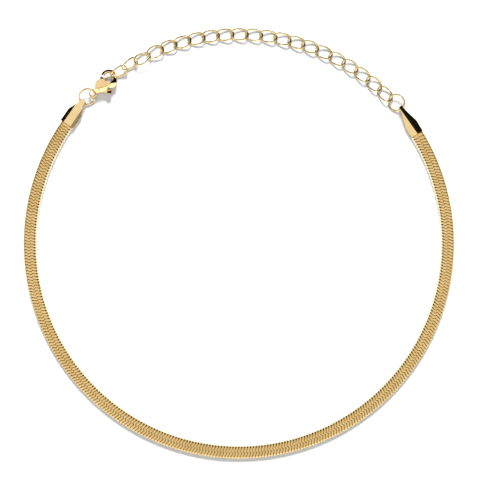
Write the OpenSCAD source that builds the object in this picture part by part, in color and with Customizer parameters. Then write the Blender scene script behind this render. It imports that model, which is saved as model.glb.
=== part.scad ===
// Herringbone neck chain with an oval-link extender and a lobster clasp, lying flat and closed.
// Millimetres. The origin is the middle of the loop on the surface that the chain lies on, and +Z is up.
// Around the loop, clockwise from the clasp's eyelet: clasp, extender links, jump ring, end cap,
// herringbone band, end cap and jump ring.

/* [Loop] */
// Radius of the loop, to the middle of the band's width
loop_r = 71.1; // [60:0.1:90]
// Direction of the clasp's eyelet as seen from the middle of the loop, in degrees from +X
clasp_angle = 134.2; // [110:0.1:150]

/* [Herringbone band] */
// Width of the band
band_w = 4.6; // [4.2:0.05:4.8]
// Thickness of the band, which is also the diameter of its rolled edges
band_t = 1.3; // [1.1:0.05:1.6]
// How far the band lies inside the middle of the caps
band_inset = 0.15; // [0:0.01:0.2]
// Width of the flattened tongue that each cap grips
tongue_w = 3.5; // [2.5:0.05:3.6]
// Thickness of the tongue
tongue_t = 0.7; // [0.5:0.05:0.75]
// Height of the tongue's underside above the surface
tongue_z = 0.35; // [0.3:0.01:0.4]
// Length of the tongue inside the cap
tongue_len = 4.6; // [3:0.1:5.5]

/* [End caps] */
// Width of the left cap over its parallel stretch
cap_w_left = 5.1; // [4.7:0.05:5.4]
// Width of the right cap over its parallel stretch
cap_w_right = 4.45; // [4.4:0.05:5.2]
// Length of the left cap from its mouth to the end of its tip
cap_len_left = 9.9; // [9.2:0.1:12]
// Length of the right cap from its mouth to the end of its tip
cap_len_right = 11; // [9.6:0.1:13]
// Length over which the left cap keeps its full width
flank_left = 4.75; // [4.6:0.05:5.5]
// Length over which the right cap keeps its full width
flank_right = 4.1; // [4:0.05:5.5]
// Thickness of a cap
cap_t = 2.24; // [2.1:0.01:2.8]
// Height of the widest edges of a cap
cap_waist = 1.32; // [1.15:0.01:1.4]
// Width of the flat top of the left cap
crown_left = 2.7; // [2.1:0.05:3]
// Width of the narrow ridge on top of the right cap
crown_right = 0.3; // [0.2:0.05:0.6]
// Turn of that ridge towards the inner corner of the tip, in degrees
ridge_skew = 3.6; // [0:0.1:4.5]
// Width of the left cap's tip
tip_w_left = 1.8; // [1.5:0.05:1.9]
// Width of the right cap's tip
tip_w_right = 1.45; // [1.2:0.05:1.6]
// Length of the parallel stretch of a tip
tip_len = 1.5; // [1.3:0.05:2]
// Wall between the tip's eye and its end
tip_wall = 0.22; // [0.2:0.01:0.4]
// Clearance around the tongue in its pocket
pocket_gap = 0.06; // [0.04:0.01:0.1]

/* [Jump rings] */
// Outer diameter of both jump rings
ring_d = 6.1; // [5.8:0.05:6.6]
// Wire of the jump rings
ring_wire = 0.6; // [0.5:0.01:0.65]
// Width of the saw cut in each ring
ring_cut = 0.12; // [0.06:0.01:0.2]

/* [Extender] */
// Number of oval links
link_count = 21; // [12:1:26]
// Outer length of a link
link_len = 6.4; // [6:0.05:7]
// Outer width of a link
link_w = 4.32; // [4.1:0.02:4.8]
// Wire of the links
link_wire = 0.56; // [0.5:0.01:0.6]
// Play between two links that are pulled taut
link_play = 0.22; // [0.16:0.01:0.3]
// How much closer than taut the first two links lie, next to the clasp
slack_first = 0.53; // [0.4:0.01:0.6]
// How much closer than taut the next links lie
slack_middle = 0.15; // [0:0.01:0.25]
// How many links lie as close as that
slack_count = 13; // [0:1:20]

/* [Clasp] */
// Distance from the eyelet's centre to the centre of the hook's hole
clasp_reach = 7.5; // [7.3:0.05:8.5]
// Thickness of the clasp's body
clasp_t = 3.1; // [2.9:0.05:3.4]
// Height of the clasp's middle plane above the surface
clasp_z = 1.66; // [1.62:0.01:1.9]
// Turn of the clasp away from the line of the loop, in degrees
clasp_turn = 3; // [0:0.5:5]
// Radius of the hook's hole
hook_r = 1.6; // [1.5:0.02:1.8]
// Width of the hook's bar
hook_bar = 1.25; // [1.1:0.01:1.3]
// Thickness of the hook's bar
hook_t = 1.1; // [0.9:0.02:1.14]
// Radius of the pivot pin
pin_r = 0.3; // [0.25:0.01:0.34]
// Clearance between the pin and the lever's bore
pin_gap = 0.05; // [0.03:0.01:0.08]
// Thickness of the lever
lever_t = 1.3; // [1:0.02:1.5]
// Clearance between the lever and the walls of its slot
lever_gap = 0.06; // [0.04:0.01:0.1]
// Travel of the lever from shut to open, in degrees
lever_swing = 25; // [10:1:28]

/* [Hidden] */

// Underside of a cap: width of the chamfers beside its flat foot, and height of its side walls
cap_chamfer = 0.35;
cap_side = 0.5;
// Eye in a cap's tip: a slot across the tip that the jump ring's wire slants through
eye_r_left = 0.62;
eye_r_right = 0.54;
eye_h_left = 1.66;
eye_h_right = 1.5;
// Distance from the band's end to the eye of each cap, and the radius that the eye lies at
reach_left = cap_len_left - tip_wall - eye_r_left + pocket_gap;
reach_right = cap_len_right - tip_wall - eye_r_right + pocket_gap;
orbit_left = norm([loop_r, reach_left]);
orbit_right = norm([loop_r, reach_right]);

// Jump rings: radius to the middle of the wire, and the distance from a ring's centre to the eye
ring_mid = (ring_d - ring_wire) / 2;
seat_left = ring_mid - 0.15;
seat_right = ring_mid - 0.1;
// Tilt of each ring, outer side up
tilt_left = 21;
tilt_right = 17;
ring_z = cap_t / 2;
// How far the left ring's wire reaches past the eyelet's centre, and the play at the last link
ring_in_eyelet = 0.5;
ring_play = 0.17;
// Where each ring is cut
cut_left = -144;
cut_right = 106;

// Extender: half sizes of the wire's path, its rise at the crossings, and the spacing of the joints
link_a = (link_len - link_wire) / 2;
link_b = (link_w - link_wire) / 2;
link_rise = 0.7 * link_wire;
link_rest = link_rise + link_wire / 2 + 0.02;
link_pitch = link_len - 2 * link_wire - link_play;
first_links = 2;
first_pitch = link_pitch - slack_first;
middle_pitch = link_pitch - slack_middle;
// Roundness of the oval, and the facets along and around its wire
oval_power = 2 / 2.3;
link_stations = 16;
wire_sides = 6;
// How the first links hang from the clasp and the last ones from the jump ring. Each row has the
// share of that neighbour's height that the link is lifted by, its roll, tilt and turn in degrees,
// and how far it lies outside the line of the loop.
first_rows = [
    [1.02, 38, -4.4, -7, 0],
    [1.18, 46, 4, 0, 0.25],
    [0.87, 152, 3.5, 0, -0.17],
    [0.2, 178, 3, 0, 0]
];
last_rows = [
    [0.36, 0, -3.8, 0, 0],
    [0.08, 0, 1, 0, 0],
    [0.08, 0, 0, 0, 0]
];

// Clasp, seen from above with its eyelet at the origin and its hook along +X
clasp_dir = clasp_angle - 90 - asin(clasp_reach / 2 / loop_r) + clasp_turn;
eyelet = polar(loop_r, clasp_angle);
hook = eyelet + polar(clasp_reach, clasp_dir);
hook_angle = atan2(hook[1], hook[0]);
hook_out = hook_r + hook_bar;
hook_mid = hook_r + hook_bar / 2;
hook_tip = 112;
hook_bevel = 0.62;
hook_play = 0.3;
// Eyelet: a ring of round wire, twisted and set a little low
eyelet_mid = 1.2;
eyelet_wire = 0.48;
eyelet_twist = -12;
eyelet_drop = 0.1;
// Body: belly and spine lobe as discs, the neck as a short run, and the ridge of the flat cheek
belly = [clasp_reach - 3.5, -0.1];
belly_r = 2.2;
spine = [clasp_reach - 0.5, -1.75];
spine_r = 1.75;
ridge = [clasp_reach + 0.4, 6.8];
ridge_r = 8.65;
bevel_run = 1.7;
bevel_drop = clasp_t / 2 - 0.55;
// Neck from the eyelet to the belly, and the web from the belly to the spine
neck = [
    [0.95, 0.55], belly + [-1.9, 1.1], belly + [-0.8, -2], belly + [-1.26, -1.96],
    [1.7, -1.32], [0.95, -0.9]
];
web = [belly + [-0.6, -1.8], belly, belly + [0.9, 1.3], spine + [0.2, 0], spine + [-1.1, 0.55]];
// Lever: its pivot, the directions of its gate and thumb arms, and their sizes
pivot = [2.2, -0.7];
boss_r = 0.7;
gate_tip = [clasp_reach - 1.33, 1.87];
gate_dir = atan2(gate_tip[1] - pivot[1], gate_tip[0] - pivot[0]);
gate_len = norm(gate_tip - pivot);
gate_w = 1.14;
gate_slant = 0.75;
gate_slant_len = 1.4;
thumb_dir = -53;
thumb_len = 4.2;
thumb_w = 1.1;
thumb_pad = 1.4;
thumb_pad_w = 1.3;
thumb_pad_t = 2;
thumb_slant = 0.7;
slot_t = lever_t + 2 * lever_gap;
slot_gap = 0.08;

// Angles at which the joints of the extender, the rings, the caps' eyes and the band's ends lie
link_overhang = (link_len - link_wire) / 2;
first_joint = hook_angle - arc_angle(hook_r - link_wire / 2 - hook_play
    + link_overhang - first_pitch / 2);
last_joint = joint_angle(link_count);
ring_right = last_joint - turn(loop_r, orbit_right,
    ring_mid + link_overhang - link_pitch / 2 - (link_wire + ring_wire) / 2 - ring_play);
ring_left = clasp_angle + turn(loop_r, orbit_left, ring_mid - ring_in_eyelet);
eye_right = ring_right - turn(orbit_right, orbit_right, seat_right);
eye_left = ring_left + turn(orbit_left, orbit_left, seat_left);
band_right = eye_right - atan(reach_right / loop_r);
band_left = eye_left + atan(reach_left / loop_r);

gold = [0.85, 0.68, 0.38];
satin_gold = [0.83, 0.68, 0.42];

// Name of link k, counted from the clasp
function link_name(k) = str("link_", k < 10 ? "0" : "", k);

// Point at radius r and direction a
function polar(r, a) = [r * cos(a), r * sin(a)];

// Angle along the loop that an arc of this length covers
function arc_angle(length) = length / loop_r * 180 / PI;

// Angle at the loop's middle between points at radii r1 and r2 that lie d apart
function turn(r1, r2, d) = acos((r1 * r1 + r2 * r2 - d * d) / (2 * r1 * r2));

// Angle of the joint behind link k, where joint 0 is the hook's
function joint_angle(k) =
    let (middle = min(max(k - first_links, 0), slack_count))
    first_joint - min(k, first_links) * pitch_angle(first_pitch)
    - middle * pitch_angle(middle_pitch)
    - max(k - first_links - slack_count, 0) * pitch_angle(link_pitch);

// Angle between two joints that lie one pitch apart
function pitch_angle(pitch) = 2 * asin(pitch / 2 / loop_r);

// Row that poses link k: lift share, roll, tilt, turn and shift outwards
function pose_row(k) =
    k <= len(first_rows) ? first_rows[k - 1] :
    k > link_count - len(last_rows) ? last_rows[link_count - k] : [0, 0, 0, 0, 0];

// Height of the neighbour that lifts link k above a link at rest
function neighbour_lift(k) = (k <= len(first_rows) ? clasp_z : ring_z) - link_rest;

// Share of an ellipse's cosine or sine, squared off a little
function oval(v) = sign(v) * pow(abs(v), oval_power);

// Point on the middle of a link's wire, which rises and falls twice around the link
function link_point(a) = [
    link_a * oval(cos(a)),
    link_b * oval(sin(a)),
    -link_rise * sin(2 * a)
];

// Unit vector
function unit(v) = v / norm(v);

// One round of points about the wire at angle a
function wire_round(a) =
    let (middle = link_point(a),
         ahead = unit(link_point(a + 1) - link_point(a - 1)),
         side = unit(cross([0, 0, 1], ahead)),
         up = cross(ahead, side))
    [for (i = [0 : wire_sides - 1])
        let (q = 360 * (i + 0.5) / wire_sides)
        middle + link_wire / 2 * (cos(q) * side + sin(q) * up)];

// Moves its children to direction a on the loop, with +X clockwise along it and +Y outwards
module clockwise_at(a, r = loop_r) {
    rotate([0, 0, a - 90]) translate([0, r, 0]) children();
}

// The same with +X the other way along the loop, and +Y inwards
module anticlockwise_at(a, r = loop_r) {
    rotate([0, 0, a + 90]) translate([0, -r, 0]) children();
}

// Section of the band, flat below and above with round edges
module band_section() {
    translate([-band_w / 2 + band_t / 2, 0]) square([band_w - band_t, band_t]);
    for (side = [-1, 1])
        translate([side * (band_w - band_t) / 2, band_t / 2]) circle(r = band_t / 2, $fn = 48);
}

// Flattened tongue of the band that goes into a cap, rooted in the band
module band_tongue() {
    root = band_t / 2;
    translate([-root, -tongue_w / 2, tongue_z]) cube([tongue_len + root, tongue_w, tongue_t]);
}

module herringbone_band() {
    color(satin_gold) union() {
        rotate([0, 0, band_left])
            rotate_extrude(angle = 360 + band_right - band_left, $fn = 180)
                translate([loop_r - band_inset, 0]) band_section();
        clockwise_at(band_left) band_tongue();
        anticlockwise_at(band_right) band_tongue();
    }
}

// Section of a cap: a flat foot, upright sides, and two bevels up to a crown of the given width
module cap_section(width, crown) {
    half = width / 2;
    foot = half - cap_chamfer;
    polygon([
        [-foot, 0], [foot, 0],
        [half, cap_side], [half, cap_waist],
        [crown / 2, cap_t], [-crown / 2, cap_t],
        [-half, cap_waist], [-half, cap_side]
    ]);
}

// Outline of a cap from above, with its mouth at x = 0 and its tip along +X
module cap_outline(width, length, flank, tip_w) {
    polygon([
        [0, -width / 2], [flank, -width / 2],
        [length - tip_len, -tip_w / 2], [length, -tip_w / 2],
        [length, tip_w / 2], [length - tip_len, tip_w / 2],
        [flank, width / 2], [0, width / 2]
    ]);
}

// Slot across the tip that takes the jump ring's wire
module cap_eye(reach, radius, height, tip_w) {
    rise = height / 2 - radius;
    translate([reach - pocket_gap, 0, cap_t / 2]) rotate([90, 0, 0]) {
        for (side = [-1, 1])
            translate([0, side * rise, 0]) cylinder(r = radius, h = 2 * tip_w, center = true, $fn = 32);
        cube([2 * radius, 2 * rise, 2 * tip_w], center = true);
    }
}

// Pocket in a cap's mouth for the band's tongue
module cap_pocket() {
    run_in = 1;
    translate([-run_in, -tongue_w / 2 - pocket_gap, tongue_z - pocket_gap])
        cube([tongue_len + run_in + pocket_gap, tongue_w + 2 * pocket_gap, tongue_t + 2 * pocket_gap]);
}

module end_cap_left() {
    color(gold) clockwise_at(band_left) translate([pocket_gap, 0, 0]) difference() {
        intersection() {
            rotate([90, 0, 90]) linear_extrude(cap_len_left) cap_section(cap_w_left, crown_left);
            linear_extrude(cap_t) cap_outline(cap_w_left, cap_len_left, flank_left, tip_w_left);
        }
        cap_pocket();
        cap_eye(reach_left, eye_r_left, eye_h_left, tip_w_left);
    }
}

// Roof of the right cap, wider than the cap, with its ridge skewed inwards towards the tip
module cap_roof() {
    spare = 1;
    fall = (cap_t - cap_waist) / (cap_w_right - crown_right) * 2 * spare;
    half = cap_w_right / 2 + spare;
    rotate([0, 0, ridge_skew]) translate([-spare, 0, 0]) rotate([90, 0, 90])
        linear_extrude(cap_len_right + 2 * spare) polygon([
            [-half, -spare], [half, -spare], [half, cap_waist - fall],
            [crown_right / 2, cap_t], [-crown_right / 2, cap_t], [-half, cap_waist - fall]
        ]);
}

module end_cap_right() {
    color(gold) anticlockwise_at(band_right) translate([pocket_gap, 0, 0]) difference() {
        intersection() {
            rotate([90, 0, 90]) linear_extrude(cap_len_right) cap_section(cap_w_right, cap_w_right);
            linear_extrude(cap_t) cap_outline(cap_w_right, cap_len_right, flank_right, tip_w_right);
            cap_roof();
        }
        cap_pocket();
        cap_eye(reach_right, eye_r_right, eye_h_right, tip_w_right);
    }
}

// Ring of round wire with a saw cut at the given angle
module jump_ring(cut) {
    difference() {
        rotate_extrude($fn = 64) translate([ring_mid, 0]) circle(d = ring_wire, $fn = 24);
        rotate([0, 0, cut]) translate([ring_mid - ring_wire, -ring_cut / 2, -ring_wire])
            cube([2 * ring_wire, ring_cut, 2 * ring_wire]);
    }
}

// Left ring, which runs from the cap's eye up to the clasp's eyelet
module jump_ring_left() {
    eye = polar(orbit_left, eye_left);
    middle = polar(orbit_left, ring_left);
    run = eyelet - eye;
    reach = norm(run);
    climb = clasp_z - eyelet_drop - ring_z;
    share = (middle - eye) * run / reach / reach;
    aside = cross(run, middle - eye) / reach;
    color(gold) translate([middle[0], middle[1], ring_z + share * climb + aside * tan(tilt_left)])
        rotate([tilt_left, -atan(climb / reach), atan2(run[1], run[0])]) jump_ring(cut_left);
}

// Right ring, which runs from the last link to the cap's eye
module jump_ring_right() {
    middle = polar(orbit_right, ring_right);
    run = polar(orbit_right, eye_right) - middle;
    color(gold) translate([middle[0], middle[1], ring_z])
        rotate([tilt_right, 0, atan2(run[1], run[0])]) jump_ring(cut_right);
}

// One oval link, lying along X with its wire twisted so that its neighbours lie flat too
module oval_link() {
    n = link_stations;
    m = wire_sides;
    points = [for (s = [0 : n - 1]) each wire_round(360 * s / n)];
    faces = [for (s = [0 : n - 1]) for (i = [0 : m - 1])
        let (t = (s + 1) % n, j = (i + 1) % m)
        each [[s * m + i, s * m + j, t * m + j], [s * m + i, t * m + j, t * m + i]]];
    polyhedron(points, faces);
}

// Link k in its place between joints k - 1 and k
module link(k) {
    from = joint_angle(k - 1);
    to = joint_angle(k);
    row = pose_row(k);
    color(gold) clockwise_at((from + to) / 2, loop_r * cos((from - to) / 2) + row[4])
        translate([0, 0, link_rest + row[0] * neighbour_lift(k)])
            rotate([row[1], row[2], row[3]]) oval_link();
}

// Moves its children into the clasp's place
module at_clasp() {
    translate([eyelet[0], eyelet[1], clasp_z]) rotate([0, 0, clasp_dir]) children();
}

// Outline of the clasp's body from above, without the upper part of its hook
module body_outline() {
    difference() {
        union() {
            translate(belly) circle(r = belly_r, $fn = 96);
            translate(spine) circle(r = spine_r, $fn = 96);
            intersection() {
                translate([clasp_reach, 0]) circle(r = hook_out, $fn = 96);
                translate([clasp_reach - hook_out, -hook_out]) square([2 * hook_out, hook_out - 0.4]);
            }
            polygon(neck);
            polygon(web);
        }
        translate([clasp_reach, 0]) circle(r = hook_r, $fn = 96);
    }
}

// Cone that lowers the body's lower flank away from the flat cheek, above and below alike
module cheek_bevels() {
    for (side = [0, 1])
        mirror([0, 0, side]) translate([ridge[0], ridge[1], 0])
            cylinder(r1 = ridge_r + bevel_run * clasp_t / 2 / bevel_drop, r2 = ridge_r,
                h = clasp_t / 2, $fn = 180);
}

// Solid body before its slot is cut, thinning towards the hook
module body_form() {
    half = clasp_t / 2;
    start = clasp_reach - 0.9;
    finish = clasp_reach + hook_r + 0.1;
    intersection() {
        linear_extrude(clasp_t, center = true) body_outline();
        cheek_bevels();
        rotate([90, 0, 0]) linear_extrude(4 * hook_out, center = true) polygon([
            [0, -half], [start, -half], [finish, -hook_t / 2], [finish + 2, -hook_t / 2],
            [finish + 2, hook_t / 2], [finish, hook_t / 2], [start, half], [0, half]
        ]);
    }
}

// Bar of the hook, swept about the middle of its hole from the spine to the hook's tip
module hook_arc() {
    near = hook_r;
    far = hook_out;
    flat = hook_t / 2;
    rim = flat * 0.15;
    translate([clasp_reach, 0, 0]) rotate([0, 0, -60])
        rotate_extrude(angle = hook_tip + 60, $fn = 120) polygon([
            [near, -flat * 0.5], [near + 0.3, -flat], [far - hook_bevel, -flat], [far, -rim],
            [far, rim], [far - hook_bevel, flat], [near + 0.3, flat], [near, flat * 0.5]
        ]);
}

// Straight arm from the pivot, along direction a
module arm(a, length, width) {
    translate(pivot) rotate(a) translate([0, -width / 2]) square([length, width]);
}

// Space that the lever needs between the cheeks, from shut to open
module lever_sweep() {
    reach = gate_len + 2;
    extra = 2 * slot_gap;
    translate(pivot) circle(r = boss_r + slot_gap, $fn = 64);
    for (a = [0, lever_swing]) {
        arm(gate_dir - a, reach, gate_w + extra);
        arm(thumb_dir - a, reach, thumb_w + extra);
    }
    for (a = [gate_dir, thumb_dir])
        translate(pivot) polygon([[0, 0], polar(reach, a), polar(reach, a - lever_swing)]);
}

module clasp_body() {
    color(gold) at_clasp() union() {
        difference() {
            body_form();
            linear_extrude(slot_t, center = true) intersection() {
                lever_sweep();
                translate([0, -4 * hook_out]) square([clasp_reach + 0.3, 8 * hook_out]);
            }
        }
        hook_arc();
        translate([pivot[0], pivot[1], 0])
            cylinder(r = pin_r, h = clasp_t + 0.1, center = true, $fn = 32);
        translate([0, 0, -eyelet_drop]) rotate([eyelet_twist, 0, 0])
            rotate_extrude($fn = 64) translate([eyelet_mid, 0]) circle(d = eyelet_wire, $fn = 24);
    }
}

// Pad at the end of the thumb arm, with its upper face slanted away from the thumb
module lever_pad() {
    half = thumb_pad_w / 2;
    top = thumb_pad_t / 2;
    translate([pivot[0], pivot[1], 0]) rotate([0, 0, thumb_dir])
        translate([thumb_len - thumb_pad, 0, 0]) rotate([90, 0, 90]) linear_extrude(thumb_pad)
            polygon([
                [-half, -top], [half, -top], [half, top - thumb_slant],
                [0.15 - half, top], [-half, top]
            ]);
}

// Cut that slants the upper face of the gate down to its tip
module gate_wedge() {
    top = lever_t / 2;
    spare = 0.5;
    fall = gate_slant / gate_slant_len;
    start = gate_len - gate_slant_len;
    translate([pivot[0], pivot[1], 0]) rotate([0, 0, gate_dir]) rotate([90, 0, 0])
        linear_extrude(2 * gate_w, center = true) polygon([
            [start, top], [gate_len + spare, top - gate_slant - spare * fall],
            [gate_len + spare, top + spare], [start, top + spare]
        ]);
}

module clasp_lever() {
    color(gold) at_clasp() difference() {
        union() {
            linear_extrude(lever_t, center = true) {
                translate(pivot) circle(r = boss_r, $fn = 64);
                arm(gate_dir, gate_len, gate_w);
                arm(thumb_dir, thumb_len - thumb_pad + 0.1, thumb_w);
            }
            lever_pad();
        }
        translate([pivot[0], pivot[1], 0])
            cylinder(r = pin_r + pin_gap, h = 2 * lever_t, center = true, $fn = 32);
        gate_wedge();
    }
}

herringbone_band();
end_cap_left();
end_cap_right();
jump_ring_left();
jump_ring_right();
clasp_body();
clasp_lever();
for (k = [1 : link_count])
    link(k);
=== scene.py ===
"""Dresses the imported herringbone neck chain: woven band, end caps, rings, extender links and clasp.

Everything is in metres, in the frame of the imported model, with +Z up out of the surface that the
chain lies on.
"""
from __future__ import annotations

import logging
import math
from dataclasses import dataclass, replace
from enum import Enum

import bmesh
import bpy
import numpy as np
from mathutils import Euler, Matrix, Vector

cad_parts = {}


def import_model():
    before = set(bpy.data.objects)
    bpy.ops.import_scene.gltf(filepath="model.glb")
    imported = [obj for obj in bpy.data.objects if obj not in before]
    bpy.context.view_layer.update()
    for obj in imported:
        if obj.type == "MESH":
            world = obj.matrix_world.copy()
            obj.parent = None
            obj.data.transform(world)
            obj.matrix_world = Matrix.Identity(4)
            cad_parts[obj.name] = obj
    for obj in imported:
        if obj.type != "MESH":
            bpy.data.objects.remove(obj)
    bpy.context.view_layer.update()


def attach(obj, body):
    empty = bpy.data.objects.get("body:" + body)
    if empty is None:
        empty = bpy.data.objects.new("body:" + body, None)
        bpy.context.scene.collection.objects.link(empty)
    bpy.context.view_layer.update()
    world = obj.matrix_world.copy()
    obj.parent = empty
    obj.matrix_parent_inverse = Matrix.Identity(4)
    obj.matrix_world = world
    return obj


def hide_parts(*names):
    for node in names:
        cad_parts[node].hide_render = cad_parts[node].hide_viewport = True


MM = 0.001
LOG = logging.getLogger("herringbone_chain")
NOISE_ROUGHNESS = 0.55
NOISE_MIDDLE = 0.5
WIRE_GRAIN = 0.02


class Body(Enum):
    """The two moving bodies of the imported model."""

    NECKLACE = "necklace"
    LEVER = "lever"


class Slot(Enum):
    """The finishes that the record names."""

    SATIN = "satin_gold"
    POLISHED = "polished_gold"


# Shader maths


class Sock:
    """One socket of a node tree, whose operators add Math nodes."""

    def __init__(self, sheet: Sheet, socket: bpy.types.NodeSocket) -> None:
        """Wraps a socket of the given sheet."""
        self.sheet = sheet
        self.socket = socket

    def _math(self, operation: str, *values: Number) -> Sock:
        """Output of a new Math node with this operation on these numbers or sockets."""
        inputs = dict(enumerate(values))
        return self.sheet.add("ShaderNodeMath", {"operation": operation}, inputs).out()

    def __add__(self, other: Number) -> Sock:
        """Sum."""
        return self._math("ADD", self, other)

    def __radd__(self, other: Number) -> Sock:
        """Sum with a number on the left."""
        return self._math("ADD", other, self)

    def __sub__(self, other: Number) -> Sock:
        """Difference."""
        return self._math("SUBTRACT", self, other)

    def __rsub__(self, other: Number) -> Sock:
        """Difference from a number on the left."""
        return self._math("SUBTRACT", other, self)

    def __mul__(self, other: Number) -> Sock:
        """Product."""
        return self._math("MULTIPLY", self, other)

    def __rmul__(self, other: Number) -> Sock:
        """Product with a number on the left."""
        return self._math("MULTIPLY", other, self)

    def size(self) -> Sock:
        """Absolute value."""
        return self._math("ABSOLUTE", self)

    def between(self, low: float, high: float) -> Sock:
        """Finds how far a value is on the way from one number to another, smoothed.

        Args:
            low: Number that gives 0, as does any value before it.
            high: Number that gives 1, as does any value past it.

        Returns:
            The share, between 0 and 1.
        """
        settings = {"interpolation_type": "SMOOTHSTEP"}
        inputs = {"Value": self, "From Min": low, "From Max": high}
        return self.sheet.add("ShaderNodeMapRange", settings, inputs).out("Result")


Number = Sock | float


class Node:
    """A node that was added to a sheet."""

    def __init__(self, sheet: Sheet, node: bpy.types.Node) -> None:
        """Wraps a node of the given sheet."""
        self.sheet = sheet
        self.node = node

    def out(self, name: str | int = 0) -> Sock:
        """The output with this name, identifier or number."""
        return Sock(self.sheet, find_socket(self.node.outputs, name))


def find_socket(sockets: bpy.types.bpy_prop_collection, key: str | int) -> bpy.types.NodeSocket:
    """Finds a socket by its identifier, its name or its place.

    Args:
        sockets: A node's inputs or outputs.
        key: Identifier, name or number.

    Returns:
        The socket.
    """
    if isinstance(key, int):
        return sockets[key]
    for socket in sockets:
        if socket.identifier == key:
            return socket
    return sockets[key]


class Sheet:
    """A node tree that shaders are written on."""

    def __init__(self, tree: bpy.types.NodeTree) -> None:
        """Starts on an emptied tree."""
        self.tree = tree
        tree.nodes.clear()

    def add(self, kind: str, settings: dict | None = None, inputs: dict | None = None) -> Node:
        """Adds one node.

        Args:
            kind: Type of the node.
            settings: Its own properties, which are set first.
            inputs: Values or links of its sockets.

        Returns:
            The node.
        """
        node = self.tree.nodes.new(kind)
        for name, value in (settings or {}).items():
            setattr(node, name, value)
        for name, value in (inputs or {}).items():
            socket = find_socket(node.inputs, name)
            if isinstance(value, Sock):
                self.tree.links.new(value.socket, socket)
            else:
                socket.default_value = value
        return Node(self, node)

    def blend(self, share: Number, first: Colour, second: Colour) -> Sock:
        """Mixes two colours, by the share of the second."""
        inputs = {"Factor_Float": share, "A_Color": first, "B_Color": second}
        return self.add("ShaderNodeMix", {"data_type": "RGBA"}, inputs).out("Result_Color")

    def scaled(self, vector: Sock, scale: tuple[float, float, float]) -> Sock:
        """Multiplies a vector by three numbers."""
        settings = {"operation": "MULTIPLY"}
        return self.add("ShaderNodeVectorMath", settings, {0: vector, 1: scale}).out()

    def noise(self, place: Sock, scale: float, detail: float = 2.0) -> Sock:
        """Noise between 0 and 1 at a place, with this many features a metre."""
        inputs = {"Vector": place, "Scale": scale, "Detail": detail, "Roughness": NOISE_ROUGHNESS}
        return self.add("ShaderNodeTexNoise", None, inputs).out(0)


Colour = Sock | tuple[float, float, float, float]


def grey(level: float) -> tuple[float, float, float, float]:
    """A grey of this level."""
    return level, level, level, 1


# Finishes


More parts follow.
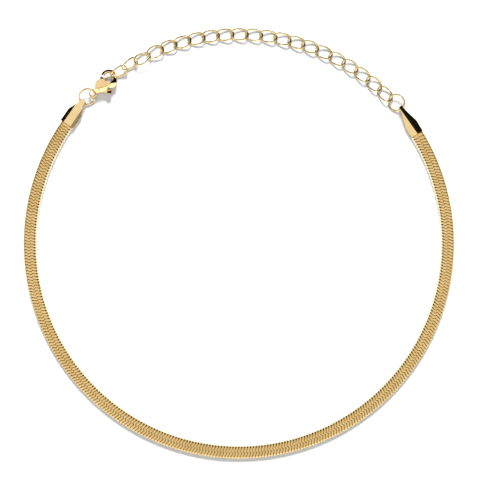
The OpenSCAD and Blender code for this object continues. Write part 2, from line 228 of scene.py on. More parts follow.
@dataclass(frozen=True)
class GoldFinish:
    """A gold surface: its colours, its gloss, its fine relief, and a painted line of shade if it has
    one.

    The colour swings to the pale one in patches and along the grain, which on the drawn wire paints
    highlights and dark reflections. It blends to a painted shade colour in the recesses, and the
    rolled rims take a pale cream painted on as a highlight. The grain is stretched across and along
    a wire, and from one wire to the next.
    """

    name: str
    colour: tuple[float, float, float]
    pale: tuple[float, float, float]
    painted_shade: tuple[float, float, float]
    roughness: float
    roughness_swing: float
    patch_size: float
    grain_size: float
    grain_stretch: tuple[float, float, float]
    grain_height: float
    # Painted highlight: a pale cream laid on the rolled rims, which are also made partly non-metallic
    # so that the key light whitens them.
    rim: tuple[float, float, float] = (1.0, 0.93, 0.68)
    rim_scatter: float = 0.6
    # Painted shade: an optional dark line in an arc, given as X, Y and radius seen from above.
    shade_line: tuple[float, float, float] | None = None
    shade_line_width: float = 0.3 * MM
    shade_line_fade: tuple[float, float] = (0.25, 0.6)
    patch_share: float = 0.6
    tone_swing: tuple[float, float] = (0.3, 0.7)
    recess_shade_start: float = 0.1
    recess_roughness: float = 0.15
    grain_share: float = 0.6
    grain_detail: float = 3.0
    fine_detail: float = 4.0
    bump_strength: float = 0.5

    def material(self) -> bpy.types.Material:
        """Builds the procedural material.

        Returns:
            The material, whose "weave" attribute holds the place across and along a piece of
            wire and a number of its own. Its "recess" attribute is 1 in the recesses, where a dark
            shade colour is painted on, and its "rim" attribute is 1 on the rolled rims, where a pale
            cream is painted on as a highlight.
        """
        made = bpy.data.materials.new(self.name)
        made.use_nodes = True
        sheet = Sheet(made.node_tree)
        place = sheet.add("ShaderNodeTexCoord").out("Object")
        recess = sheet.add("ShaderNodeAttribute", {"attribute_name": "recess"}).out("Fac")
        rim = sheet.add("ShaderNodeAttribute", {"attribute_name": "rim"}).out("Fac")
        weave = sheet.add("ShaderNodeAttribute", {"attribute_name": "weave"}).out("Vector")
        patches = sheet.noise(place, 1 / self.patch_size)
        along = sheet.scaled(weave, self.grain_stretch)
        grain = sheet.noise(along, 1.0, self.grain_detail)
        fine = sheet.noise(place, 1 / self.grain_size, self.fine_detail)
        tone = patches * self.patch_share + grain * (1 - self.patch_share)
        tone = tone.between(*self.tone_swing)
        base = sheet.blend(tone, (*self.colour, 1), (*self.pale, 1))
        # Painted highlight: the rolled rims blend to the pale cream, and below they lose some of
        # their metallic so that they scatter the key light.
        base = sheet.blend(rim, base, (*self.rim, 1))
        # Painted shade: the recesses blend to the dark shade colour.
        base = sheet.blend(recess.between(self.recess_shade_start, 1.0), base, (*self.painted_shade, 1))
        # Painted shade: a dark line along the given arc.
        if self.shade_line:
            base = sheet.blend(self.shade_line_share(sheet, place), base, (*self.painted_shade, 1))
        rough = (self.roughness + (fine - NOISE_MIDDLE) * self.roughness_swing
                 + recess * self.recess_roughness)
        relief = grain * self.grain_share + fine * (1 - self.grain_share)
        bump = sheet.add("ShaderNodeBump", None, {
            "Strength": self.bump_strength, "Distance": self.grain_height,
            "Height": relief}).out("Normal")
        shader = sheet.add("ShaderNodeBsdfPrincipled", None, {
            "Base Color": base, "Roughness": rough, "Normal": bump,
            "Metallic": 1 - rim * self.rim_scatter}).out("BSDF")
        sheet.add("ShaderNodeOutputMaterial", None, {"Surface": shader})
        return made

    def shade_line_share(self, sheet: Sheet, place: Sock) -> Sock:
        """Share of a painted line of shade that runs in an arc about a point, seen from above.

        Args:
            sheet: Sheet of the material.
            place: Place on the surface.

        Returns:
            1 on the line and 0 away from it.
        """
        x, y, radius = self.shade_line
        settings = {"operation": "SUBTRACT"}
        apart = sheet.add("ShaderNodeVectorMath", settings, {0: place, 1: (x, y, 0.0)}).out()
        flat = sheet.scaled(apart, (1.0, 1.0, 0.0))
        reach = sheet.add("ShaderNodeVectorMath", {"operation": "LENGTH"}, {0: flat}).out("Value")
        full, clear = (share * self.shade_line_width for share in self.shade_line_fade)
        return 1 - (reach - radius).size().between(full, clear)


SATIN_BAND = GoldFinish(
    name="satin_band", colour=(0.75, 0.5, 0.185), pale=(0.85, 0.6, 0.265),
    painted_shade=(0.42, 0.26, 0.08), roughness=0.34, roughness_swing=0.12, patch_size=4 * MM,
    grain_size=0.25 * MM, grain_stretch=(3.0, 900.0, 5.0), grain_height=0.012 * MM)
# Painted shade: a dark core under the weave stands in for the shade seen through the gaps between
# links.
BAND_SHADE_CORE = GoldFinish(
    name="band_shade_core", colour=(0.42, 0.25, 0.08), pale=(0.5, 0.3, 0.1),
    painted_shade=(0.09, 0.045, 0.015), roughness=0.5, roughness_swing=0.1, patch_size=3 * MM,
    grain_size=0.3 * MM, grain_stretch=(1.0, 1.0, 1.0), grain_height=0.01 * MM)
POLISHED_CAP = GoldFinish(
    name="polished_cap", colour=(0.88, 0.64, 0.29), pale=(0.94, 0.71, 0.36),
    painted_shade=(0.3, 0.17, 0.06), roughness=0.12, roughness_swing=0.06, patch_size=3 * MM,
    grain_size=0.5 * MM, grain_stretch=(1.0, 1.0, 1.0), grain_height=0.002 * MM)
POLISHED_CLASP = GoldFinish(
    name="polished_clasp", colour=(0.9, 0.62, 0.29), pale=(0.95, 0.69, 0.35),
    painted_shade=(0.3, 0.17, 0.06), roughness=0.12, roughness_swing=0.06, patch_size=2.5 * MM,
    grain_size=0.5 * MM, grain_stretch=(1.0, 1.0, 1.0), grain_height=0.003 * MM)
# Painted light: the wide swing from a dark brown to a cream paints dark reflections and highlights in
# patches along the wire.
DRAWN_WIRE = GoldFinish(
    name="drawn_wire", colour=(0.36, 0.24, 0.055), pale=(1.0, 0.8, 0.38),
    painted_shade=(0.3, 0.17, 0.06), roughness=0.1, roughness_swing=0.05, patch_size=1.1 * MM,
    grain_size=0.2 * MM, grain_stretch=(1.5, 50.0, 7.0), grain_height=0.002 * MM)


# Where the pieces lie


def polar(radius: float, degrees: float) -> Vector:
    """Point on the surface at this radius and direction."""
    turn = math.radians(degrees)
    return Vector((radius * math.cos(turn), radius * math.sin(turn), 0))


def turned(x: float = 0, y: float = 0, z: float = 0) -> Matrix:
    """Turn about X, then Y, then Z, in degrees."""
    return Euler([math.radians(v) for v in (x, y, z)], "XYZ").to_matrix().to_4x4()


def moved(x: float, y: float, z: float) -> Matrix:
    """Move by this much."""
    return Matrix.Translation((x, y, z))


@dataclass(frozen=True)
class CapFit:
    """How a cap takes its jump ring: its length, its eye, and how far the ring sits back in it."""

    length: float
    eye_r: float
    sit_back: float


@dataclass(frozen=True)
class LinkPose:
    """How a link lies off its even place.

    The lift is a share of the height of the clasp, or of the cap's eye at the far end. The link
    is then rolled about its length, nodded up at one end and turned to the side, in degrees, and
    it lies this far outward.
    """

    lift: float = 0
    roll: float = 0
    nod: float = 0
    turn: float = 0
    outward: float = 0


@dataclass(frozen=True)
class Layout:
    """Where the pieces lie, from the same sizes as the solids.

    Angles and directions are in degrees, counted from +X towards +Y. The links are counted from
    the clasp, and the last poses are given from the far end.
    """

    loop_r: float = 71.1 * MM
    clasp_angle: float = 134.2
    band_w: float = 4.6 * MM
    band_t: float = 1.3 * MM
    band_inset: float = 0.15 * MM
    cap_left: CapFit = CapFit(length=9.9 * MM, eye_r=0.62 * MM, sit_back=0.15 * MM)
    cap_right: CapFit = CapFit(length=11 * MM, eye_r=0.54 * MM, sit_back=0.1 * MM)
    cap_t: float = 2.24 * MM
    tip_wall: float = 0.22 * MM
    pocket_gap: float = 0.06 * MM
    ring_d: float = 6.1 * MM
    ring_wire: float = 0.6 * MM
    link_count: int = 21
    link_len: float = 6.4 * MM
    link_w: float = 4.32 * MM
    link_wire: float = 0.56 * MM
    link_play: float = 0.22 * MM
    link_rise_share: float = 0.7
    link_clear: float = 0.02 * MM
    slack_first: float = 0.53 * MM
    slack_middle: float = 0.15 * MM
    slack_count: int = 13
    first_links: int = 2
    clasp_reach: float = 7.5 * MM
    clasp_z: float = 1.66 * MM
    clasp_turn: float = 3
    hook_r: float = 1.6 * MM
    hook_play: float = 0.3 * MM
    eyelet_drop: float = 0.1 * MM
    cheek_ahead: float = 0.4 * MM
    cheek_aside: float = 6.8 * MM
    cheek_r: float = 8.75 * MM
    tilt_left: float = 21
    tilt_right: float = 17
    ring_in_eyelet: float = 0.5 * MM
    ring_play: float = 0.17 * MM
    first_poses: tuple[LinkPose, ...] = (
        LinkPose(lift=1.02, roll=38, nod=-4.4, turn=-7),
        LinkPose(lift=1.18, roll=46, nod=4, outward=0.25 * MM),
        LinkPose(lift=0.87, roll=152, nod=3.5, outward=-0.17 * MM),
        LinkPose(lift=0.2, roll=178, nod=3))
    last_poses: tuple[LinkPose, ...] = (
        LinkPose(lift=0.36, nod=-3.8), LinkPose(lift=0.08, nod=1), LinkPose(lift=0.08))

    def reach(self, cap: CapFit) -> float:
        """Distance from the band's end to the middle of a cap's eye."""
        return cap.length - self.tip_wall - cap.eye_r + self.pocket_gap

    def orbit(self, cap: CapFit) -> float:
        """Radius at which a cap's eye and its ring's middle lie."""
        return math.hypot(self.loop_r, self.reach(cap))

    def seat(self, cap: CapFit) -> float:
        """Distance from a jump ring's middle to the cap's eye."""
        return self.ring_mid - cap.sit_back

    @property
    def ring_mid(self) -> float:
        """Radius to the middle of a jump ring's wire."""
        return (self.ring_d - self.ring_wire) / 2

    @property
    def ring_z(self) -> float:
        """Height of a cap's eye."""
        return self.cap_t / 2

    @property
    def link_rise(self) -> float:
        """How far a link's wire rises and falls."""
        return self.link_rise_share * self.link_wire

    @property
    def link_rest(self) -> float:
        """Height of a link's middle where it lies on the surface."""
        return self.link_rise + self.link_wire / 2 + self.link_clear

    @property
    def link_pitch(self) -> float:
        """Distance from joint to joint where the links are taut."""
        return self.link_len - 2 * self.link_wire - self.link_play

    @property
    def overhang(self) -> float:
        """Half of a link's length to the middle of its wire."""
        return (self.link_len - self.link_wire) / 2

    @property
    def clasp_dir(self) -> float:
        """Direction from the clasp's eyelet to its hook."""
        bow = math.degrees(math.asin(self.clasp_reach / 2 / self.loop_r))
        return self.clasp_angle - 90 - bow + self.clasp_turn

    @property
    def cheek_arc(self) -> tuple[float, float, float]:
        """Arc along the foot of the clasp's flat cheek, seen from above.

        Returns:
            X and Y of its middle, and its radius.
        """
        aside = Vector((self.clasp_reach + self.cheek_ahead, self.cheek_aside, 0))
        middle = self.eyelet + turned(z=self.clasp_dir) @ aside
        return middle.x, middle.y, self.cheek_r

    @property
    def eyelet(self) -> Vector:
        """Middle of the clasp's eyelet, on the surface."""
        return polar(self.loop_r, self.clasp_angle)

    def apart(self, r1: float, r2: float, gap: float) -> float:
        """Angle between points at two radii that lie this far apart."""
        return math.degrees(math.acos((r1 * r1 + r2 * r2 - gap * gap) / (2 * r1 * r2)))

    def step(self, pitch: float) -> float:
        """Angle between two joints that lie one pitch apart."""
        return 2 * math.degrees(math.asin(pitch / 2 / self.loop_r))

    def joint(self, k: int) -> float:
        """Finds the joint behind a link. The first links and the middle ones lie slack.

        Args:
            k: Number of the link, from the clasp, or 0 for the hook's own joint.

        Returns:
            The joint's direction.
        """
        hook = self.eyelet + polar(self.clasp_reach, self.clasp_dir)
        first_pitch = self.link_pitch - self.slack_first
        lead = (self.hook_r - self.link_wire / 2 - self.hook_play
                + self.overhang - first_pitch / 2)
        start = math.degrees(math.atan2(hook.y, hook.x) - lead / self.loop_r)
        middle = min(max(k - self.first_links, 0), self.slack_count)
        taut = max(k - self.first_links - self.slack_count, 0)
        return (start - min(k, self.first_links) * self.step(first_pitch)
                - middle * self.step(self.link_pitch - self.slack_middle)
                - taut * self.step(self.link_pitch))

    @property
    def ring_right(self) -> float:
        """Direction of the right ring's middle."""
        gap = (self.ring_mid + self.overhang - self.link_pitch / 2
               - (self.link_wire + self.ring_wire) / 2 - self.ring_play)
        return self.joint(self.link_count) - self.apart(self.loop_r, self.orbit(self.cap_right), gap)

    @property
    def ring_left(self) -> float:
        """Direction of the left ring's middle."""
        gap = self.ring_mid - self.ring_in_eyelet
        return self.clasp_angle + self.apart(self.loop_r, self.orbit(self.cap_left), gap)

    @property
    def eye_right(self) -> float:
        """Direction of the right cap's eye."""
        orbit = self.orbit(self.cap_right)
        return self.ring_right - self.apart(orbit, orbit, self.seat(self.cap_right))

    @property
    def eye_left(self) -> float:
        """Direction of the left cap's eye."""
        orbit = self.orbit(self.cap_left)
        return self.ring_left + self.apart(orbit, orbit, self.seat(self.cap_left))

    @property
    def band_ends(self) -> tuple[float, float]:
        """Directions of the band's left and right ends, the right one after a full turn."""
        leads = [math.degrees(math.atan(self.reach(cap) / self.loop_r))
                 for cap in (self.cap_left, self.cap_right)]
        return self.eye_left + leads[0], self.eye_right - leads[1] + 360

    def link_place(self, k: int) -> Matrix:
        """Place of link k, between joints k - 1 and k.

        Args:
            k: Number of the link, from the clasp.

        Returns:
            The matrix that takes a link at the origin to its place.
        """
        start, end = self.joint(k - 1), self.joint(k)
        pose = LinkPose()
        if k <= len(self.first_poses):
            pose = self.first_poses[k - 1]
        elif k > self.link_count - len(self.last_poses):
            pose = self.last_poses[self.link_count - k]
        top = self.clasp_z if k <= len(self.first_poses) else self.ring_z
        height = self.link_rest + pose.lift * (top - self.link_rest)
        radius = self.loop_r * math.cos(math.radians(start - end) / 2) + pose.outward
        return (turned(z=(start + end) / 2 - 90) @ moved(0, radius, height)
                @ turned(pose.roll, pose.nod, pose.turn))

    def ring_left_place(self) -> Matrix:
        """Place of the left ring, which climbs from the cap's eye to the clasp's eyelet.

        Returns:
            The matrix that takes a ring at the origin to its place.
        """
        eye = polar(self.orbit(self.cap_left), self.eye_left)
        middle = polar(self.orbit(self.cap_left), self.ring_left)
        run = self.eyelet - eye
        reach = run.length
        climb = self.clasp_z - self.eyelet_drop - self.ring_z
        share = (middle - eye).dot(run) / reach / reach
        aside = (run.x * (middle - eye).y - run.y * (middle - eye).x) / reach
        height = self.ring_z + share * climb + aside * math.tan(math.radians(self.tilt_left))
        fall = -math.degrees(math.atan(climb / reach))
        heading = math.degrees(math.atan2(run.y, run.x))
        return moved(middle.x, middle.y, height) @ turned(self.tilt_left, fall, heading)

    def ring_right_place(self) -> Matrix:
        """Place of the right ring, between the last link and the cap's eye.

        Returns:
            The matrix that takes a ring at the origin to its place.
        """
        middle = polar(self.orbit(self.cap_right), self.ring_right)
        run = polar(self.orbit(self.cap_right), self.eye_right) - middle
        heading = math.degrees(math.atan2(run.y, run.x))
        return moved(middle.x, middle.y, self.ring_z) @ turned(self.tilt_right, 0, heading)


# Meshes


class MeshDraft:
    """Tubes that are gathered into one mesh, with the marks that the finishes read."""

    def __init__(self) -> None:
        """Starts empty."""
        self.points: list[np.ndarray] = []
        self.faces: list[list[int]] = []
        self.weave: list[np.ndarray] = []
        self.recess: list[np.ndarray] = []
        self.rim: list[np.ndarray] = []
        self.count = 0

    def add_tube(self, rounds: np.ndarray, closed: bool, weave: np.ndarray | None = None,
                 recess: np.ndarray | None = None, rim: np.ndarray | None = None) -> None:
        """Adds a tube through rounds of points.

        Args:
            rounds: Points, with one row for each round.
            closed: Whether the last round joins the first. An open tube gets two end faces.
            weave: Place across and along the wire and a number of its own, for each point.
            recess: How deep in a recess each point is, from 0 to 1.
            rim: How much painted highlight each point takes on the rolled rims, from 0 to 1.
        """
        n, m = rounds.shape[:2]
        index = np.arange(n * m).reshape(n, m) + self.count
        ahead = np.roll(index, -1, axis=0)
        here = index if closed else index[:-1]
        ahead = ahead if closed else ahead[:-1]
        quads = np.stack([here, np.roll(here, -1, 1), np.roll(ahead, -1, 1), ahead], -1)
        faces = quads.reshape(-1, 4).tolist()
        if not closed:
            faces += [index[0][::-1].tolist(), index[-1].tolist()]
        if self.inside_out(rounds):
            faces = [face[::-1] for face in faces]
        self.points.append(rounds.reshape(-1, 3))
        self.weave.append(np.zeros((n * m, 3)) if weave is None else weave.reshape(-1, 3))
        self.recess.append(np.zeros(n * m) if recess is None else recess.reshape(-1))
        self.rim.append(np.zeros(n * m) if rim is None else rim.reshape(-1))
        self.faces += faces
        self.count += n * m

    @staticmethod
    def inside_out(rounds: np.ndarray) -> bool:
        """Tells which way the quads from each round to the next face.

        Args:
            rounds: Points of the tube, with one row for each round.

        Returns:
            True where they face into the tube.
        """
        n = len(rounds)
        first, second = rounds[n // 2], rounds[(n // 2 + 1) % n]
        middle = first.mean(0)
        side = np.cross(np.roll(first, -1, 0) - first, second - first)
        return float((side * (first - middle)).sum()) < 0

    def build(self, name: str, finish: bpy.types.Material) -> bpy.types.Object:
        """Makes the object.

        Args:
            name: Name of the piece.
            finish: Its material.

        Returns:
            The object, at the origin.
        """
        mesh = bpy.data.meshes.new(name)
        mesh.from_pydata(np.concatenate(self.points).tolist(), [], self.faces)
        mesh.attributes.new("weave", "FLOAT_VECTOR", "POINT").data.foreach_set(
            "vector", np.concatenate(self.weave).astype(np.float32).ravel())
        for mark, values in (("recess", self.recess), ("rim", self.rim)):
            mesh.attributes.new(mark, "FLOAT", "POINT").data.foreach_set(
                "value", np.concatenate(values).astype(np.float32))
        mesh.shade_smooth()
        mesh.materials.append(finish)
        return placed(name, mesh)


def placed(name: str, mesh: bpy.types.Mesh) -> bpy.types.Object:
    """Puts a mesh into the scene at the origin.

    Args:
        name: Name of the object.
        mesh: Its mesh.

    Returns:
        The object.
    """
    made = bpy.data.objects.new(name, mesh)
    bpy.context.scene.collection.objects.link(made)
    return made


def wire_rounds(path: np.ndarray, radius: float, sides: int, closed: bool,
                squash: np.ndarray | None = None) -> tuple[np.ndarray, np.ndarray]:
    """Rounds of points about a wire's path.

    Args:
        path: Points on the middle of the wire.
        radius: Radius of the wire.
        sides: Points in a round.
        closed: Whether the path is a loop.
        squash: Scale of each round, which rounds off the ends of an open wire.

    Returns:
        The rounds, and their marks: millimetres across the wire, and its grain along it.
    """
    if closed:
        ahead = np.roll(path, -1, 0) - np.roll(path, 1, 0)
    else:
        ahead = np.gradient(path, axis=0)
    ahead /= np.linalg.norm(ahead, axis=1)[:, None]
    side = np.cross([0, 0, 1], ahead)
    side /= np.linalg.norm(side, axis=1)[:, None]
    up = np.cross(ahead, side)
    turn = np.arange(sides) / sides * 2 * math.pi
    spread = radius * (np.cos(turn)[None, :, None] * side[:, None]
                       + np.sin(turn)[None, :, None] * up[:, None])
    if squash is not None:
        spread *= squash[:, None, None]
    lengths = np.concatenate([[0], np.cumsum(np.linalg.norm(np.diff(path, axis=0), axis=1))])
    marks = np.zeros((len(path), sides, 3))
    marks[:, :, 0] = radius / MM * np.sin(turn)[None]
    marks[:, :, 1] = WIRE_GRAIN * lengths[:, None] / MM
    return path[:, None] + spread, marks


def carried(points: np.ndarray, place: Matrix) -> np.ndarray:
    """Takes points through a matrix."""
    matrix = np.array(place)
    return points @ matrix[:3, :3].T + matrix[:3, 3]


@dataclass
class Piece:
    """What is shared by all sub-assemblies: the layout and how a piece joins the frame."""

    layout: Layout

    def join(self, made: bpy.types.Object, body: Body, slot: Slot, *nodes: str) -> bpy.types.Object:
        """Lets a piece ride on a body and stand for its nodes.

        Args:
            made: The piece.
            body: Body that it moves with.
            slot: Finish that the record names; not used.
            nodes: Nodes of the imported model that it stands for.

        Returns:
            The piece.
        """
        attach(made, body.value)
        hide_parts(*nodes)
        LOG.info("%s: %d faces, stands for %s", made.name, len(made.data.polygons), list(nodes))
        return made


@dataclass(frozen=True)
class Profile:
    """A value over the width of the band, as rows of radius in millimetres and value."""

    rows: tuple[tuple[float, float], ...]

    def at(self, radius: np.ndarray) -> np.ndarray:
        """The value at each radius, on straight lines from row to row."""
        return np.interp(radius / MM, *zip(*self.rows))


@dataclass
class HerringboneBand(Piece):
    """The woven band: a row of flat links, each pressed into a slanted double stroke.

    Its profiles say how far a link has slid clockwise in millimetres, how wide it is as a share
    of its room, where a pale cream highlight is painted on it, and where the core under it is
    darkened with painted shade. The stroke is a link's crown from edge to edge, as rows of place
    across its half width and share of the groove's depth. Its underside lies at the root, between
    the two edges that are given for it.
    """

    links: int = 302
    groove: float = 0.11 * MM
    root: float = 0.3 * MM
    fade: float = 3 * MM
    pieces: int = 2
    core_margin: float = 0.24 * MM
    tongue_w: float = 3.5 * MM
    tongue_t: float = 0.7 * MM
    tongue_z: float = 0.35 * MM
    tongue_len: float = 4.6 * MM
    top_points: int = 17
    side_points: int = 9
    under_points: int = 11
    core_stations: int = 240
    grain_step: float = 0.004
    stroke: tuple[tuple[float, float], ...] = (
        (-1, 1), (-0.82, 0.42), (-0.4, 0.06), (0.1, 0), (0.6, 0.12), (0.92, 0.5), (1, 1))
    under: tuple[float, float] = (0.7, -0.7)
    slide: Profile = Profile((
        (68.6, 0), (69.45, 0), (70.85, 0.55), (71.2, 0), (72.6, 0.63), (73.3, 0.64)))
    width: Profile = Profile((
        (68.6, 1), (69.05, 1), (69.2, 0.64), (69.35, 0.52), (69.5, 0.64), (69.75, 0.98),
        (70.7, 1), (70.9, 0.98), (71.15, 0.87), (71.35, 0.88), (71.6, 0.98), (72.2, 0.98),
        (72.4, 0.85), (72.6, 0.82), (72.8, 0.9), (72.95, 1), (73.3, 1)))
    # Painted shade: the core darkens to near black by the inner edge, where the weave's narrow gaps
    # show it.
    pit_shade: Profile = Profile(((69.05, 0), (69.2, 1), (69.6, 1), (69.85, 0)))
    # Painted highlight: a pale cream on the inner rim and, weaker, on the outer lip.
    rim: Profile = Profile((
        (69, 1), (69.12, 0.8), (69.25, 0.2), (69.4, 0), (72.8, 0), (73, 0.3), (73.3, 0.3)))

    def section(self) -> tuple[np.ndarray, np.ndarray]:
        """Outline of the band's section: flat top, rounded side, flat underside, other side.

        Returns:
            Points of radius and height, and the outward direction at each.
        """
        middle = self.layout.loop_r - self.layout.band_inset
        round_r = self.layout.band_t / 2
        flat = self.layout.band_w / 2 - round_r
        points, normals = [], []
        for across, count, height, up in ((flat, self.top_points, 2 * round_r, 1),
                                          (-flat, self.under_points, 0, -1)):
            for x in np.linspace(-across, across, count):
                points.append((x, height))
                normals.append((0, up))
            for a in np.radians(np.linspace(90, -90, self.side_points)[1:-1] - 90 * (1 - up)):
                points.append((across + round_r * math.cos(a), round_r * (1 + math.sin(a))))
                normals.append((math.cos(a), math.sin(a)))
        return np.array(points) + (middle, 0), np.array(normals)

    def draft_link(self, draft: MeshDraft, number: int) -> None:
        """Adds one link of the weave: a rounded stroke that runs once round the section.

        Args:
            draft: Draft that it is added to.
            number: Number of the link, from the left cap.
        """
        outline, outward = self.section()
        start, end = self.layout.band_ends
        span = math.radians(end - start)
        pitch = span / self.links
        radius = outline[:, 0]
        slide = self.slide.at(radius) * MM
        width = self.width.at(radius) * pitch
        across = np.array([place for place, _ in self.stroke] + list(self.under))
        sink = np.array([depth * self.groove for _, depth in self.stroke]
                        + [self.root] * len(self.under))
        turn = (number + 0.5) * pitch + across[None] * width[:, None] / 2
        reach = self.fade / self.layout.loop_r
        ease = np.clip(np.minimum(turn, span - turn) / reach, 0, 1)
        turn = math.radians(start) + turn - slide[:, None] / radius[:, None] * ease
        r = radius[:, None] - outward[:, :1] * sink[None]
        z = outline[:, 1:] - outward[:, 1:] * sink[None]
        rounds = np.stack([r * np.cos(turn), r * np.sin(turn), np.broadcast_to(z, r.shape)], -1)
        weave = np.zeros(rounds.shape)
        weave[:, :, 0] = across
        weave[:, :, 1] = np.arange(len(outline))[:, None] * self.grain_step
        weave[:, :, 2] = number
        # Painted shade: the grooves between strokes and the underside take the shade colour by their
        # depth.
        recess = np.broadcast_to(np.clip(sink / self.groove, 0, 1) ** 2, rounds.shape[:2])
        rim = self.rim.at(radius)[:, None] * np.ones(len(across))
        draft.add_tube(rounds, True, weave, recess, rim)

    def draft_core(self, draft: MeshDraft) -> None:
        """Adds the inside of the band with its two tongues, in a dark finish that paints the shade
        seen between and under the links.

        Args:
            draft: Draft that they are added to.
        """
        outline, outward = self.section()
        keep = outline - outward * self.core_margin
        start, end = self.layout.band_ends
        turn = np.radians(np.linspace(start, end, self.core_stations))[:, None]
        r = keep[None, :, 0]
        z = np.broadcast_to(keep[None, :, 1], (self.core_stations, len(keep)))
        rounds = np.stack([r * np.cos(turn), r * np.sin(turn), z], -1)
        # Painted shade: dark pits in the core by the inner edge.
        pit_shade = self.pit_shade.at(keep[:, 0])[None] * np.ones((self.core_stations, 1))
        draft.add_tube(rounds, False, recess=pit_shade)
        for a, side in ((start, 1), (end, -1)):
            place = turned(z=a - 90 * side) @ moved(0, side * self.layout.loop_r, 0)
            half, low, high = self.tongue_w / 2, self.tongue_z, self.tongue_z + self.tongue_t
            corners = [(-half, low), (half, low), (half, high), (-half, high)]
            box = np.array([[(x, y, z) for y, z in corners]
                            for x in (-self.layout.band_t / 2, self.tongue_len)])
            draft.add_tube(carried(box, place), False)

    def build(self) -> None:
        """Builds the weave in a few joined pieces, and the core under it."""
        satin = SATIN_BAND.material()
        for part in range(self.pieces):
            draft = MeshDraft()
            for number in range(part * self.links // self.pieces,
                                (part + 1) * self.links // self.pieces):
                self.draft_link(draft, number)
            self.join(draft.build(f"band_weave_{part + 1}", satin), Body.NECKLACE, Slot.SATIN,
                      "herringbone_band")
        draft = MeshDraft()
        self.draft_core(draft)
        self.join(draft.build("band_shade_core", BAND_SHADE_CORE.material()), Body.NECKLACE, Slot.SATIN,
                  "herringbone_band")


@dataclass
class Extender(Piece):
    """The oval links of the extender, of round wire."""

    stations: int = 72
    sides: int = 14
    roundness: float = 2 / 2.3

    def path(self) -> np.ndarray:
        """Draws the middle of a link's wire, which rises and falls twice around the link.

        Returns:
            Its points.
        """
        place = self.layout
        turn = np.linspace(0, 2 * math.pi, self.stations, endpoint=False)

        def oval(v: np.ndarray) -> np.ndarray:
            """An ellipse's cosine or sine, squared off a little."""
            return np.sign(v) * np.abs(v) ** self.roundness

        half = (place.link_w - place.link_wire) / 2
        return np.stack([place.overhang * oval(np.cos(turn)), half * oval(np.sin(turn)),
                         -place.link_rise * np.sin(2 * turn)], -1)

    def build(self) -> None:
        """Builds each link in its place."""
        metal = DRAWN_WIRE.material()
        radius = self.layout.link_wire / 2
        rounds, marks = wire_rounds(self.path(), radius, self.sides, True)
        for k in range(1, self.layout.link_count + 1):
            draft = MeshDraft()
            weave = marks + (0, 0, k)
            draft.add_tube(carried(rounds, self.layout.link_place(k)), True, weave)
            name = f"link_{k:02d}"
            self.join(draft.build(f"oval_{name}", metal), Body.NECKLACE, Slot.POLISHED, name)


@dataclass
class JumpRings(Piece):
    """The two cut rings, one between cap and clasp and one between cap and last link."""

    cut: float = 0.12 * MM
    cut_left: float = -144
    cut_right: float = 106
    stations: int = 96
    sides: int = 20
    end_step: float = 0.25
    end_run: float = 0.8
    end_sizes: tuple[float, float] = (0.84, 0.95)
    first_number: int = 31

    def draft_ring(self, cut_at: float, place: Matrix, number: int) -> MeshDraft:
        """Draws a ring that is open at its saw cut.

        Args:
            cut_at: Direction of the cut in the ring's own plane, in degrees.
            place: Where the ring lies.
            number: Number of its own for the finish.

        Returns:
            The draft.
        """
        mid = self.layout.ring_mid
        half = math.degrees(self.cut / 2 / mid)
        inner = np.linspace(half + self.end_run, 360 - half - self.end_run, self.stations)
        turn = np.concatenate([[half, half + self.end_step], inner,
                               [360 - half - self.end_step, 360 - half]])
        turn = np.radians(turn + cut_at)
        path = np.stack([mid * np.cos(turn), mid * np.sin(turn), np.zeros(len(turn))], -1)
        squash = np.ones(len(turn))
        squash[[0, -1]], squash[[1, -2]] = self.end_sizes
        rounds, marks = wire_rounds(path, self.layout.ring_wire / 2, self.sides, False, squash)
        draft = MeshDraft()
        draft.add_tube(carried(rounds, place), False, marks + (0, 0, number))
        return draft

    def build(self) -> None:
        """Builds both rings."""
        metal = DRAWN_WIRE.material()
        rings = (("left", self.cut_left, self.layout.ring_left_place()),
                 ("right", self.cut_right, self.layout.ring_right_place()))
        for number, (side, cut_at, place) in enumerate(rings, self.first_number):
            made = self.draft_ring(cut_at, place, number).build(f"cut_ring_{side}", metal)
            self.join(made, Body.NECKLACE, Slot.POLISHED, f"jump_ring_{side}")


@dataclass
class CastPart(Piece):
    """A cast piece that takes its form from its node, with softened edges."""

    node: str
    name: str
    metal: bpy.types.Material
    body: Body = Body.NECKLACE
    edge: float = 0.07 * MM
    edge_rounds: int = 3
    edge_angle: float = 24
    flat_angle: float = 0.4
    sharp_angle: float = 35
    weld: float = 0.001 * MM

    def build(self) -> None:
        """Welds the node's form, softens its edges and dresses it."""
        form = bmesh.new()
        form.from_mesh(bpy.data.objects[self.node].data)
        bmesh.ops.remove_doubles(form, verts=form.verts, dist=self.weld)
        bmesh.ops.dissolve_limit(form, angle_limit=math.radians(self.flat_angle),
                                 verts=form.verts, edges=form.edges)
        mesh = bpy.data.meshes.new(self.name)
        form.to_mesh(mesh)
        form.free()
        draft = placed(self.name + "_form", mesh)
        soften = draft.modifiers.new("soften", "BEVEL")
        soften.width = self.edge
        soften.segments = self.edge_rounds
        soften.limit_method = "ANGLE"
        soften.angle_limit = math.radians(self.edge_angle)
        soften.miter_outer = "MITER_ARC"
        view = draft.evaluated_get(bpy.context.evaluated_depsgraph_get())
        done = bpy.data.meshes.new_from_object(view)
        bpy.data.objects.remove(draft)
        done.materials.clear()
        done.materials.append(self.metal)
        done.shade_smooth()
        done.set_sharp_from_angle(angle=math.radians(self.sharp_angle))
        made = placed(self.name, done)
        level = made.modifiers.new("level", "WEIGHTED_NORMAL")
        level.keep_sharp = True
        self.join(made, self.body, Slot.POLISHED, self.node)


# Floor, light and camera


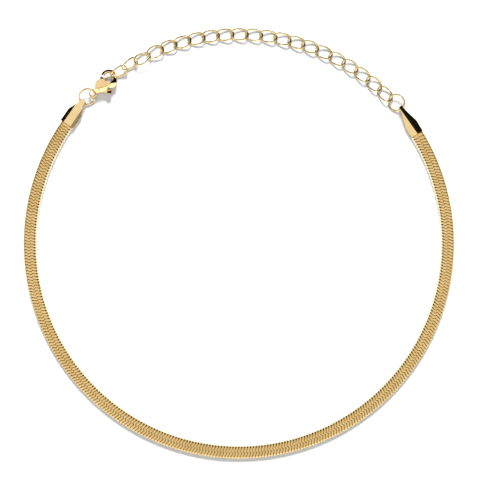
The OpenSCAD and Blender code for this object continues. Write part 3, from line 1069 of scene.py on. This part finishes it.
@dataclass
class Studio:
    """A plain pale floor, a soft sky that is bright overhead, and a camera that looks down.

    The sky is a bright round, leaned towards -Y, with a soft edge, and it is brighter still near
    the floor in front. It lights the floor with its own share and tint, and the camera sees a
    plain pale backdrop.
    """

    floor_size: float = 6.0
    floor_drop: float = 0.02 * MM
    floor_tones: tuple[float, float] = (0.9, 0.93)
    floor_patches: float = 30.0
    floor_roughness: float = 0.9
    floor_gloss: float = 0.1
    backdrop: float = 0.93
    view_width: float = 163.2 * MM
    view_middle: tuple[float, float] = (0.39 * MM, 1.13 * MM)
    focus_height: float = 1.0 * MM
    lens: float = 300.0
    sensor: float = 36.0
    clip: tuple[float, float] = (0.01, 50.0)
    key_strength: float = 5.9
    key_elevation: float = 35
    key_spread: float = 21
    sky_lean: float = 28
    sky_reach: float = 49
    sky_edge: float = 13
    sky_light: float = 0.98
    sky_dark: float = 0.005
    sky_near: float = 0.9
    sky_front: tuple[float, float] = (-0.45, -0.65)
    sky_fill: float = 0.62
    sky_tint: tuple[float, float, float] = (0.93, 0.97, 1.0)

    def floor(self) -> None:
        """Lays the floor."""
        half = self.floor_size / 2
        mesh = bpy.data.meshes.new("floor")
        mesh.from_pydata([(-half, -half, 0), (half, -half, 0), (half, half, 0), (-half, half, 0)],
                         [], [(0, 1, 2, 3)])
        paint = bpy.data.materials.new("pale_floor")
        paint.use_nodes = True
        sheet = Sheet(paint.node_tree)
        place = sheet.add("ShaderNodeTexCoord").out("Object")
        dull, pale = (grey(level) for level in self.floor_tones)
        tone = sheet.blend(sheet.noise(place, self.floor_patches), dull, pale)
        shader = sheet.add("ShaderNodeBsdfPrincipled", None, {
            "Base Color": tone, "Roughness": self.floor_roughness,
            "Specular IOR Level": self.floor_gloss}).out("BSDF")
        sheet.add("ShaderNodeOutputMaterial", None, {"Surface": shader})
        mesh.materials.append(paint)
        laid = placed("floor", mesh)
        laid.location.z = -self.floor_drop

    def sky(self) -> None:
        """Makes a sky that is bright overhead and towards -Y, and dark behind."""
        world = bpy.data.worlds.new("studio_sky")
        bpy.context.scene.world = world
        world.use_nodes = True
        sheet = Sheet(world.node_tree)
        toward = sheet.add("ShaderNodeTexCoord").out("Generated")
        lean = math.radians(self.sky_lean)
        middle = (0.0, -math.sin(lean), math.cos(lean))
        nearness = sheet.add("ShaderNodeVectorMath", {"operation": "DOT_PRODUCT"},
                             {0: toward, 1: middle}).out("Value")
        outer = math.cos(math.radians(self.sky_reach + self.sky_edge))
        inner = math.cos(math.radians(self.sky_reach))
        glow = nearness.between(outer, inner) * (self.sky_light - self.sky_dark) + self.sky_dark
        ahead = sheet.add("ShaderNodeSeparateXYZ", None, {0: toward}).out("Y")
        glow = glow * (1 + ahead.between(*self.sky_front) * self.sky_near)
        path = sheet.add("ShaderNodeLightPath")
        diffuse = path.out("Is Diffuse Ray")
        glow = glow * (1 - diffuse * (1 - self.sky_fill))
        tint = sheet.blend(diffuse, grey(1.0), (*self.sky_tint, 1))
        light = sheet.add("ShaderNodeBackground", None, {"Color": tint, "Strength": glow}).out()
        pale = sheet.add("ShaderNodeBackground", None, {
            "Color": grey(self.backdrop), "Strength": 1.0}).out()
        both = sheet.add("ShaderNodeMixShader", None, {
            0: path.out("Is Camera Ray"), 1: light, 2: pale}).out()
        sheet.add("ShaderNodeOutputWorld", None, {"Surface": both})

    def key(self) -> None:
        """Hangs the key light, which throws the soft shadows towards -Y."""
        lamp = bpy.data.lights.new("key", "SUN")
        lamp.energy = self.key_strength
        lamp.angle = math.radians(self.key_spread)
        hung = bpy.data.objects.new("key", lamp)
        bpy.context.scene.collection.objects.link(hung)
        hung.rotation_euler = (math.radians(self.key_elevation - 90), 0, 0)
        hung.visible_glossy = False

    def camera(self) -> None:
        """Hangs the camera straight above, framed like the photograph."""
        eye = bpy.data.cameras.new("camera")
        eye.lens = self.lens
        eye.sensor_width = self.sensor
        eye.clip_start, eye.clip_end = self.clip
        hung = bpy.data.objects.new("camera", eye)
        bpy.context.scene.collection.objects.link(hung)
        far = self.view_width * self.lens / self.sensor
        hung.location = (*self.view_middle, far + self.focus_height)
        bpy.context.scene.camera = hung

    def build(self) -> None:
        """Sets up the whole studio."""
        bpy.context.scene.view_settings.view_transform = "Standard"
        self.floor()
        self.sky()
        self.key()
        self.camera()


def main() -> None:
    """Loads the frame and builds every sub-assembly."""
    logging.basicConfig(level=logging.INFO, format="%(name)s: %(message)s")
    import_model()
    layout = Layout()
    Studio().build()
    HerringboneBand(layout).build()
    cap_metal = POLISHED_CAP.material()
    CastPart(layout, "end_cap_left", "crimped_cap_left", cap_metal).build()
    CastPart(layout, "end_cap_right", "crimped_cap_right", cap_metal).build()
    JumpRings(layout).build()
    Extender(layout).build()
    # The clasp body's finish paints a dark line of shade along the foot of its flat cheek.
    shade_lined = replace(POLISHED_CLASP, name="clasp_with_shade_line", shade_line=layout.cheek_arc).material()
    CastPart(layout, "clasp_body", "lobster_body", shade_lined).build()
    plain = POLISHED_CLASP.material()
    CastPart(layout, "clasp_lever", "lobster_lever", plain, Body.LEVER).build()


if __name__ == "__main__":
    main()
